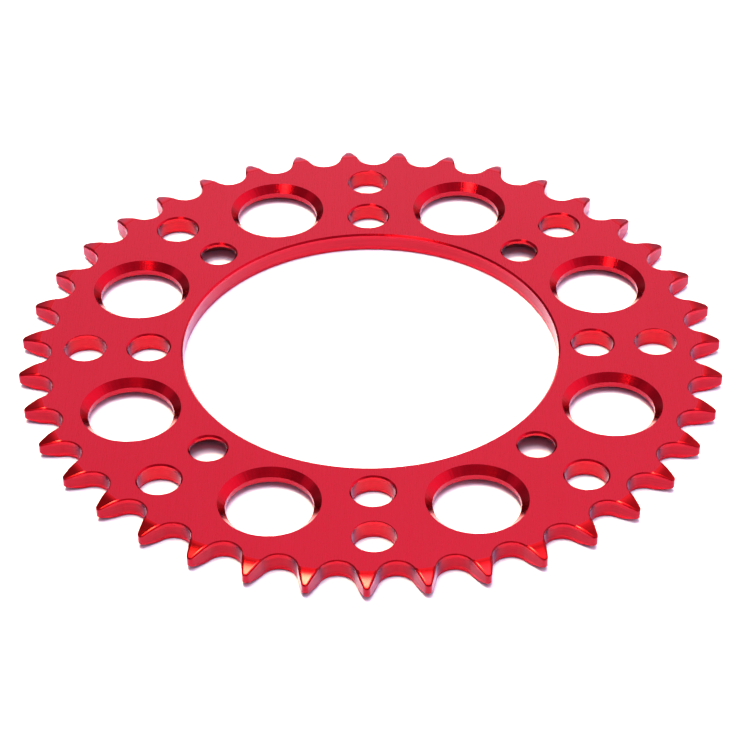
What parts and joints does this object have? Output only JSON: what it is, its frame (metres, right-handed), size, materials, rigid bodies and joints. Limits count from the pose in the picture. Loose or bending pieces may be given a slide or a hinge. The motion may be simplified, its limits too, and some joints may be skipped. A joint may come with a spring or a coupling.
{
  "type": "motorcycle rear sprocket",
  "caption": "Flat ring sprocket for a motorcycle's rear wheel, with bevelled teeth, a hub bore, round bolt circles and chamfered lightening holes.",
  "frame": {"origin": "on the hub bore's axis, halfway through the plate, in the plane that the chain runs in", "axes": "+Z along the bore's axis, out of the face with the small chamfers; the countersinks open on the -Z face; +X and +Y pass through the plain stud holes"},
  "size_m": [0.2052, 0.2053, 0.0058],
  "materials": {
    "red_anodised_aluminium": "red anodised, fine straight-brushed faces with bright turned chamfers"
  },
  "bodies": {
    "root": {"sprocket": "red_anodised_aluminium"}
  },
  "joints": []
}
